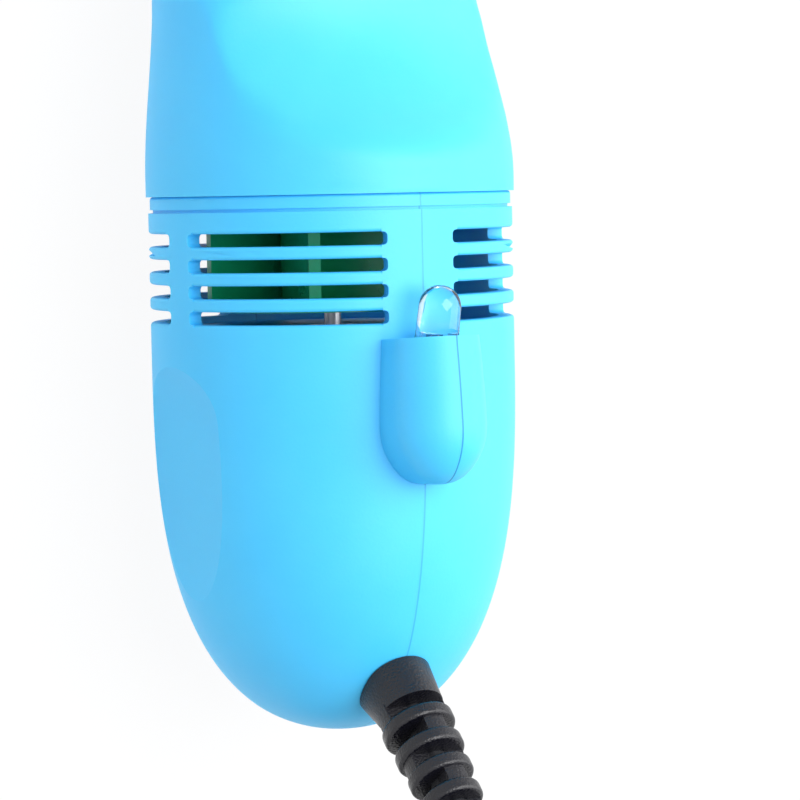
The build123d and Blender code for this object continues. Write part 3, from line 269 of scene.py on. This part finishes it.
class Graph:
    """The node tree of a material, or of the sky."""

    def __init__(self, owner, output="ShaderNodeOutputMaterial"):
        owner.use_nodes = True
        self.owner = owner
        self.tree = owner.node_tree
        self.tree.nodes.clear()
        self.output = self.tree.nodes.new(output)

    def feed(self, socket, value):
        """Links a Signal to a node's socket, or sets a plain value on it."""
        if isinstance(value, Signal):
            self.tree.links.new(value.socket, socket)
        else:
            socket.default_value = value

    def node(self, kind, settings=None, inputs=None, output=0):
        """A node of one kind, with its settings made before its inputs, as a Signal."""
        made = self.tree.nodes.new(kind)
        for key, value in (settings or {}).items():
            setattr(made, key, value)
        for key, value in (inputs or {}).items():
            self.feed(made.inputs[key], value)
        return Signal(self, made.outputs[output])

    def place(self):
        """Where a point lies on the piece, in metres."""
        return self.node("ShaderNodeTexCoord", output="Object")

    def noise(self, scale, detail, roughness=0.5, stretch=None):
        """Noise from 0 to 1, with scale in waves to the metre."""
        where = self.place()
        if stretch:
            where = self.node("ShaderNodeMapping", None, {"Vector": where, "Scale": stretch})
        return self.node(
            "ShaderNodeTexNoise",
            None,
            {"Vector": where, "Scale": scale, "Detail": detail, "Roughness": roughness},
            "Fac",
        )

    def between(self, value, low, high, to_low, to_high):
        """value from low to high turned into to_low to to_high, and held at the ends."""
        return self.node(
            "ShaderNodeMapRange",
            None,
            {
                "Value": value,
                "From Min": low,
                "From Max": high,
                "To Min": to_low,
                "To Max": to_high,
            },
        )

    def spread(self, noise, low=0.0, high=1.0):
        """Noise spread over the whole of low to high."""
        return self.between(noise, NOISE_LOW, NOISE_HIGH, low, high)

    def mix(self, share, first, second):
        """A colour between two, by share."""
        return self.node(
            "ShaderNodeMix",
            {"data_type": "RGBA"},
            {MIX_SHARE: share, MIX_FIRST: first, MIX_SECOND: second},
            MIX_RESULT,
        )

    def bump(self, height, distance, strength):
        """The slope that height gives a surface, where 1 stands for distance in metres."""
        return self.node(
            "ShaderNodeBump", None, {"Height": height, "Distance": distance, "Strength": strength}
        )

    def close(self, shader):
        """Ends the tree in shader, and gives the material or sky that it belongs to."""
        self.feed(self.output.inputs["Surface"], shader)
        return self.owner

    def surface(self, **inputs):
        """A finished material. Names use underscores for spaces."""
        named = {key.replace("_", " "): value for key, value in inputs.items()}
        return self.close(self.node("ShaderNodeBsdfPrincipled", None, named))


print("noise is spread from", NOISE_LOW, "to", NOISE_HIGH)

# %% [markdown]
# A colour is chosen on a screen, where its numbers aren't in step with the light. A shader counts
# light, so each colour is turned into that once, here.

# %% Colours
def srgb(red, green, blue):
    """A colour as a screen shows it, from 0 to 255, turned into the linear colour of a shader."""
    channels = [c / 255 for c in (red, green, blue)]
    linear = [c / 12.92 if c <= 0.04045 else ((c + 0.055) / 1.055) ** 2.4 for c in channels]
    return (*linear, 1)


WHITE = srgb(255, 255, 255)
print("white is", WHITE)

# %% [markdown]
# The floor is lit like any surface, so it takes a shadow. A ray that comes straight from the
# camera, off something glossy or through glass sees it mostly as a white that gives its own
# light. Light Path tells these rays from the others. The sky works the same way: its light on the
# cleaner stays gentle, while it looks white.

# %% Floor and sky
FLOOR_COLOR = (0.9, 0.9, 0.9, 1)
FLOOR_GLOW = 0.93
SKY_LIGHT = 0.52


def lit_or_seen(graph, lit, seen, most):
    """lit where it lights something, and up to most of seen where it is looked at."""
    looked_at = graph.node("ShaderNodeLightPath", output="Is Camera Ray")
    for ray in ("Is Glossy Ray", "Is Transmission Ray"):
        looked_at = looked_at + graph.node("ShaderNodeLightPath", output=ray)
    share = graph.node("ShaderNodeMath", {"operation": "MINIMUM"}, {0: looked_at, 1: most})
    return graph.close(graph.node("ShaderNodeMixShader", None, {0: share, 1: lit, 2: seen}))


floor_graph = Graph(bpy.data.materials.new("studio_floor"))
matte = floor_graph.node("ShaderNodeBsdfDiffuse", None, {"Color": FLOOR_COLOR})
glow = floor_graph.node("ShaderNodeEmission", None, {"Color": WHITE, "Strength": 1.0})
floor_mesh.materials.append(lit_or_seen(floor_graph, matte, glow, FLOOR_GLOW))

sky_graph = Graph(bpy.data.worlds.new("studio"), "ShaderNodeOutputWorld")
dim, white = (
    sky_graph.node("ShaderNodeBackground", None, {"Color": WHITE, "Strength": strength})
    for strength in (SKY_LIGHT, 1.0)
)
scene.world = lit_or_seen(sky_graph, dim, white, 1.0)
print("floor and sky finished")

# %% [markdown]
# The shell is moulded in one bright blue plastic. It scatters a little light under its skin,
# which softens its shadows and lifts its thin ribs. The mould leaves a very fine grain. The rear
# housing is two halves that meet on the plane x = 0. The line between them is faint on the body
# and clear on the pod, so the finish of those halves darkens that line and presses it in.

# %% The blue plastic
BODY_R = 21.5
POD_RISE = 0.8
SEAM_CORE = 0.00006
SEAM_EDGE = 0.00013
SEAM_PRESS = 0.00008
SEAM_ON_BODY = 0.45
SEAM_ON_POD = 0.95
SHELL_GRAIN = 0.00002


def blue_plastic(name, seam):
    """The shell's plastic. Where seam is set, a fine line follows x = 0, deeper on the pod."""
    graph = Graph(bpy.data.materials.new(name))
    cloud = graph.noise(90, detail=3)
    height = graph.noise(2600, detail=2) * SHELL_GRAIN
    color = graph.mix(graph.spread(cloud), srgb(64, 192, 250), srgb(70, 196, 252))
    if seam:
        place = graph.place()
        side = graph.node("ShaderNodeSeparateXYZ", None, {"Vector": place}, "X")
        rise = graph.node("ShaderNodeSeparateXYZ", None, {"Vector": place}, "Z")
        pod_foot = (AXIS_Z + BODY_R) * MM
        pod_side = (AXIS_Z + BODY_R + POD_RISE) * MM
        depth = graph.between(rise, pod_foot, pod_side, SEAM_ON_BODY, SEAM_ON_POD)
        line = graph.between(side * side, SEAM_CORE**2, SEAM_EDGE**2, 1, 0) * depth
        color = graph.mix(line, color, srgb(20, 140, 205))
        height = height - line * SEAM_PRESS
    return graph.surface(
        Base_Color=color,
        Roughness=graph.spread(cloud, 0.46, 0.52),
        Normal=graph.bump(height, distance=1.0, strength=0.6),
        Subsurface_Weight=0.2,
        Subsurface_Scale=0.002,
        Subsurface_Radius=(0.2, 0.8, 1.0),
    )


seamed = blue_plastic("blue_plastic_seamed", True)
finishes = {"blue_plastic": blue_plastic("blue_plastic", False)}
print("blue plastic, plain and with its seam")

# %% [markdown]
# Everything else is a plain moulding, a worked metal or clear resin. A moulding has a fine grain
# and faint clouds. A metal has streaks, which are stretched along the way that it was drawn or
# ground. One function for each kind keeps them alike.

# %% Three kinds of finish
CLOUD_SHADE = 0.86
CLOUD_ROUGHNESS = 0.05
STREAK_SHADE = 0.8
STREAK_ROUGHNESS = 0.08
STREAK_DEPTH = 0.00001


def shade(color, share):
    """A colour made darker."""
    return (*(c * share for c in color[:3]), 1)


def moulded(name, color, roughness, grain_depth=0.00002, grain_scale=2200):
    """A moulded plastic or rubber with a fine grain and faint clouds."""
    graph = Graph(bpy.data.materials.new(name))
    cloud = graph.noise(160, detail=3)
    grain = graph.noise(grain_scale, detail=2)
    return graph.surface(
        Base_Color=graph.mix(graph.spread(cloud), shade(color, CLOUD_SHADE), color),
        Roughness=graph.spread(cloud, roughness - CLOUD_ROUGHNESS, roughness + CLOUD_ROUGHNESS),
        Normal=graph.bump(grain, grain_depth, strength=0.6),
    )


def metal(name, color, roughness, stretch=(1, 1, 1)):
    """A worked metal: its roughness and height vary in streaks along one axis."""
    graph = Graph(bpy.data.materials.new(name))
    streak = graph.noise(900, detail=4, roughness=0.6, stretch=stretch)
    return graph.surface(
        Base_Color=graph.mix(graph.spread(streak), shade(color, STREAK_SHADE), color),
        Metallic=1.0,
        Roughness=graph.spread(streak, roughness - STREAK_ROUGHNESS, roughness + STREAK_ROUGHNESS),
        Normal=graph.bump(streak, STREAK_DEPTH, strength=0.5),
    )


def clear_resin(name):
    """Clear epoxy: a tinted glass with flow marks that are barely there."""
    graph = Graph(bpy.data.materials.new(name))
    return graph.surface(
        Base_Color=srgb(226, 248, 255),
        Roughness=0.02,
        IOR=1.5,
        Transmission_Weight=1.0,
        Normal=graph.bump(graph.noise(500, detail=1), distance=0.00002, strength=0.3),
    )


finishes["clear_lens"] = clear_resin("clear_lens")
print("clear resin finished")

# %% [markdown]
# The tables below hold what differs from one finish to the next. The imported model's record names
# the finish of each node, so a loop can dress them all.

# %% The finishes and where they go
# Colour and roughness, then the grain's depth and scale where they differ
mouldings = {
    "white_plastic": (srgb(236, 236, 232), 0.4),
    "green_plastic": (srgb(16, 176, 118), 0.3),
    "black_plastic": (srgb(26, 27, 30), 0.42),
    "black_rubber": (srgb(12, 12, 22), 0.3, 0.00016, 3600),
    "cord_rubber": (srgb(28, 29, 34), 0.45),
    "ferrite": (srgb(60, 60, 62), 0.6, 0.00005),
    "carbon": (srgb(38, 38, 40), 0.55),
    "cloth": (srgb(214, 214, 208), 0.9, 0.0001, 3000),
    "red_plastic": (srgb(186, 30, 26), 0.4),
    "wire_black": (srgb(24, 24, 26), 0.4),
}
# Colour and roughness, then how the streaks are stretched
metals = {
    "tinned_metal": ((0.8, 0.8, 0.82, 1), 0.25),
    "steel": ((0.62, 0.62, 0.64, 1), 0.3, (1, 0.05, 1)),
    "copper": ((0.72, 0.30, 0.14, 1), 0.35, (1, 0.2, 1)),
    "bronze": ((0.5, 0.36, 0.18, 1), 0.45),
    "brass": ((0.78, 0.58, 0.25, 1), 0.25),
}
finishes |= {name: moulded(name, *look) for name, look in mouldings.items()}
finishes |= {name: metal(name, *look) for name, look in metals.items()}

slots = {part["node"]: part["material_slot"] for part in frame["record"]["subparts"]}
for name, node in nodes.items():
    node.data.materials.clear()
    node.data.materials.append(finishes[slots[name]])
for name in ("rear_housing_left", "rear_housing_right"):
    nodes[name].data.materials[0] = seamed
cord_curve.materials.append(finishes["cord_rubber"])
print(len(finishes), "finishes on", len(nodes), "nodes")

# %% [markdown]
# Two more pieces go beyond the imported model: the lamp's lens and the plug's grip. Both are made
# of round shapes, so their faces are shaded smoothly, and only true edges stay sharp. A round
# shape is drawn as rings round an axis, joined by faces, because that gives it as many sides as
# it needs.

# %% Smooth shading and turned shapes
EDGE_ANGLE = radians(40)


def smooth(made):
    """Smooth shading that keeps the sharp edges."""
    made.data.polygons.foreach_set("use_smooth", [True] * len(made.data.polygons))
    made.data.set_sharp_from_angle(angle=EDGE_ANGLE)


def turned(name, profile, sides, spot):
    """A shape turned about an axis. profile lists (radius, along); spot places (x, y, along)."""
    mesh = bmesh.new()
    turns = [2 * pi * k / sides for k in range(sides)]
    rings = []
    for radius, along in profile:
        places = [(0, 0)]
        if radius:
            places = [(radius * cos(turn), radius * sin(turn)) for turn in turns]
        rings.append([mesh.verts.new(spot(x, y, along)) for x, y in places])
    for lower, upper in zip(rings, rings[1:]):
        for k in range(sides):
            corners = [lower[k % len(lower)], lower[(k + 1) % len(lower)]]
            corners += [upper[(k + 1) % len(upper)], upper[k % len(upper)]]
            mesh.faces.new(list(dict.fromkeys(corners)))
    bmesh.ops.recalc_face_normals(mesh, faces=mesh.faces)
    data = bpy.data.meshes.new(name)
    mesh.to_mesh(data)
    mesh.free()
    return add_to_scene(name, data)


print("sharp edges start at", round(EDGE_ANGLE, 2), "radians")

# %% [markdown]
# The lamp is a clear five millimetre light-emitting diode, moulded in one piece round its two
# leads. Glass shows every flat of a coarse mesh, so the lens is drawn again here as one turned
# shape with many sides. Its profile is the real one: a flange, slightly drafted sides and a round
# dome.

# %% The lamp's lens
LED_TILT = radians(13)
LED_RISE = 2.85
LED_S = 16.3
LED_BACK = -2.7
LED_PROUD = 6.0
LED_R = 2.55
LED_DRAFT = 0.02
LED_DRAFT_LENGTH = 0.4
LED_DOME_R = 2.4
LED_FLANGE_R = 2.9
LED_FLANGE = 1.0
LED_BEVEL = 0.15
DOME_STEPS = 16
LENS_SIDES = 72
led_place = Vector((0, JOINT_Y - LED_S, AXIS_Z + BODY_R + LED_RISE))
led_axis = Vector((0, cos(LED_TILT), sin(LED_TILT)))
led_up = Vector((0, -sin(LED_TILT), cos(LED_TILT)))


def in_lamp(x, up_from, along):
    """A point in the lamp's own frame, in metres."""
    return (led_place + Vector((x, 0, 0)) + led_up * up_from + led_axis * along) * MM


flange_front = LED_BACK + LED_FLANGE
dome_start = LED_PROUD - LED_DOME_R
profile = [
    (0, LED_BACK),
    (LED_FLANGE_R - LED_BEVEL, LED_BACK),
    (LED_FLANGE_R, LED_BACK + LED_BEVEL),
    (LED_FLANGE_R, flange_front - LED_BEVEL),
    (LED_FLANGE_R - LED_BEVEL, flange_front),
    (LED_R, flange_front),
    (LED_R - LED_DRAFT, flange_front + LED_DRAFT_LENGTH),
]
for k in range(DOME_STEPS):
    turn = pi / 2 * k / DOME_STEPS
    profile.append((LED_DOME_R * cos(turn), dome_start + LED_DOME_R * sin(turn)))
profile.append((0, dome_start + LED_DOME_R))
lens = turned("led_clear_lens", profile, LENS_SIDES, in_lamp)
smooth(lens)
lens.data.materials.append(finishes["clear_lens"])
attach(lens, "housing")
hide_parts("led_lens")
print("lamp drawn,", len(lens.data.polygons), "faces in its lens")

# %% [markdown]
# The plug's moulded grip has a row of fine ridges across its upper face, so that fingers can pull
# it. Ridges repeat, so Geometry Nodes lay them out: a line of points gets one small round bar
# each, and the tree ends in real geometry with its finish set.

# %% The ridges' node tree
BAR_SIDES = 20


def ridge_tree(finish):
    """A row of round bars along X, spaced along Y, with named sizes."""
    tree = bpy.data.node_groups.new("grip_ridges", "GeometryNodeTree")
    tree.interface.new_socket("Geometry", in_out="OUTPUT", socket_type="NodeSocketGeometry")
    tree.interface.new_socket("Ridges", in_out="INPUT", socket_type="NodeSocketInt")
    for name in ("Pitch", "Reach", "Radius"):
        tree.interface.new_socket(name, in_out="INPUT", socket_type="NodeSocketFloat")
    given = tree.nodes.new("NodeGroupInput").outputs
    result = tree.nodes.new("NodeGroupOutput")

    def step(kind, **links):
        made = tree.nodes.new(kind)
        for name, socket in links.items():
            tree.links.new(socket, made.inputs[name])
        return made

    along = step("ShaderNodeCombineXYZ", Y=given["Pitch"])
    row = step("GeometryNodeMeshLine", Count=given["Ridges"], Offset=along.outputs[0])
    bar = step("GeometryNodeMeshCylinder", Radius=given["Radius"], Depth=given["Reach"])
    bar.inputs["Vertices"].default_value = BAR_SIDES
    laid = step("GeometryNodeTransform", Geometry=bar.outputs["Mesh"])
    laid.inputs["Rotation"].default_value = (0, pi / 2, 0)
    bars = step("GeometryNodeInstanceOnPoints", Points=row.outputs[0], Instance=laid.outputs[0])
    real = step("GeometryNodeRealizeInstances", Geometry=bars.outputs[0])
    painted = step("GeometryNodeSetMaterial", Geometry=real.outputs[0])
    painted.inputs["Material"].default_value = finish
    tree.links.new(painted.outputs[0], result.inputs[0])
    return tree


tree = ridge_tree(finishes["black_rubber"])
print(len(tree.nodes), "nodes in the ridges' tree")

# %% [markdown]
# The tree runs on an empty object, and its result is read back as a plain mesh, which is then
# moved into place on the plug. The object that carried the tree isn't needed after that.

# %% The plug's ridges
GRIP_RIDGES = 6
GRIP_PITCH = 1.6
GRIP_REACH = 10.4
GRIP_RIDGE_R = 0.45
GRIP_MIDDLE_Y = -174.5
PLUG_HALF_HIGH = 3.8

carrier = add_to_scene("ridge_row", bpy.data.meshes.new("ridge_row"))
modifier = carrier.modifiers.new("ridges", "NODES")
modifier.node_group = tree
sockets = {item.name: item.identifier for item in tree.interface.items_tree}
modifier[sockets["Ridges"]] = GRIP_RIDGES
modifier[sockets["Pitch"]] = GRIP_PITCH * MM
modifier[sockets["Reach"]] = GRIP_REACH * MM
modifier[sockets["Radius"]] = GRIP_RIDGE_R * MM
laid_out = carrier.evaluated_get(bpy.context.evaluated_depsgraph_get())
row_mesh = bpy.data.meshes.new_from_object(laid_out)
bpy.data.objects.remove(carrier)

row_start = GRIP_MIDDLE_Y - GRIP_PITCH * (GRIP_RIDGES - 1) / 2
row_place = Vector((PLUG_X, row_start, PLUG_Z + PLUG_HALF_HIGH))
row_mesh.transform(Matrix.Translation(row_place * MM))
grip = add_to_scene("plug_grip_ridges", row_mesh)
smooth(grip)
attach(grip, "housing")
print(len(row_mesh.polygons), "faces in the plug's ridges")

# %% [markdown]
# Nothing that was added may change how big the cleaner is. The view layer is brought up to date
# at the end.

# %% Close the scene
bpy.context.view_layer.update()
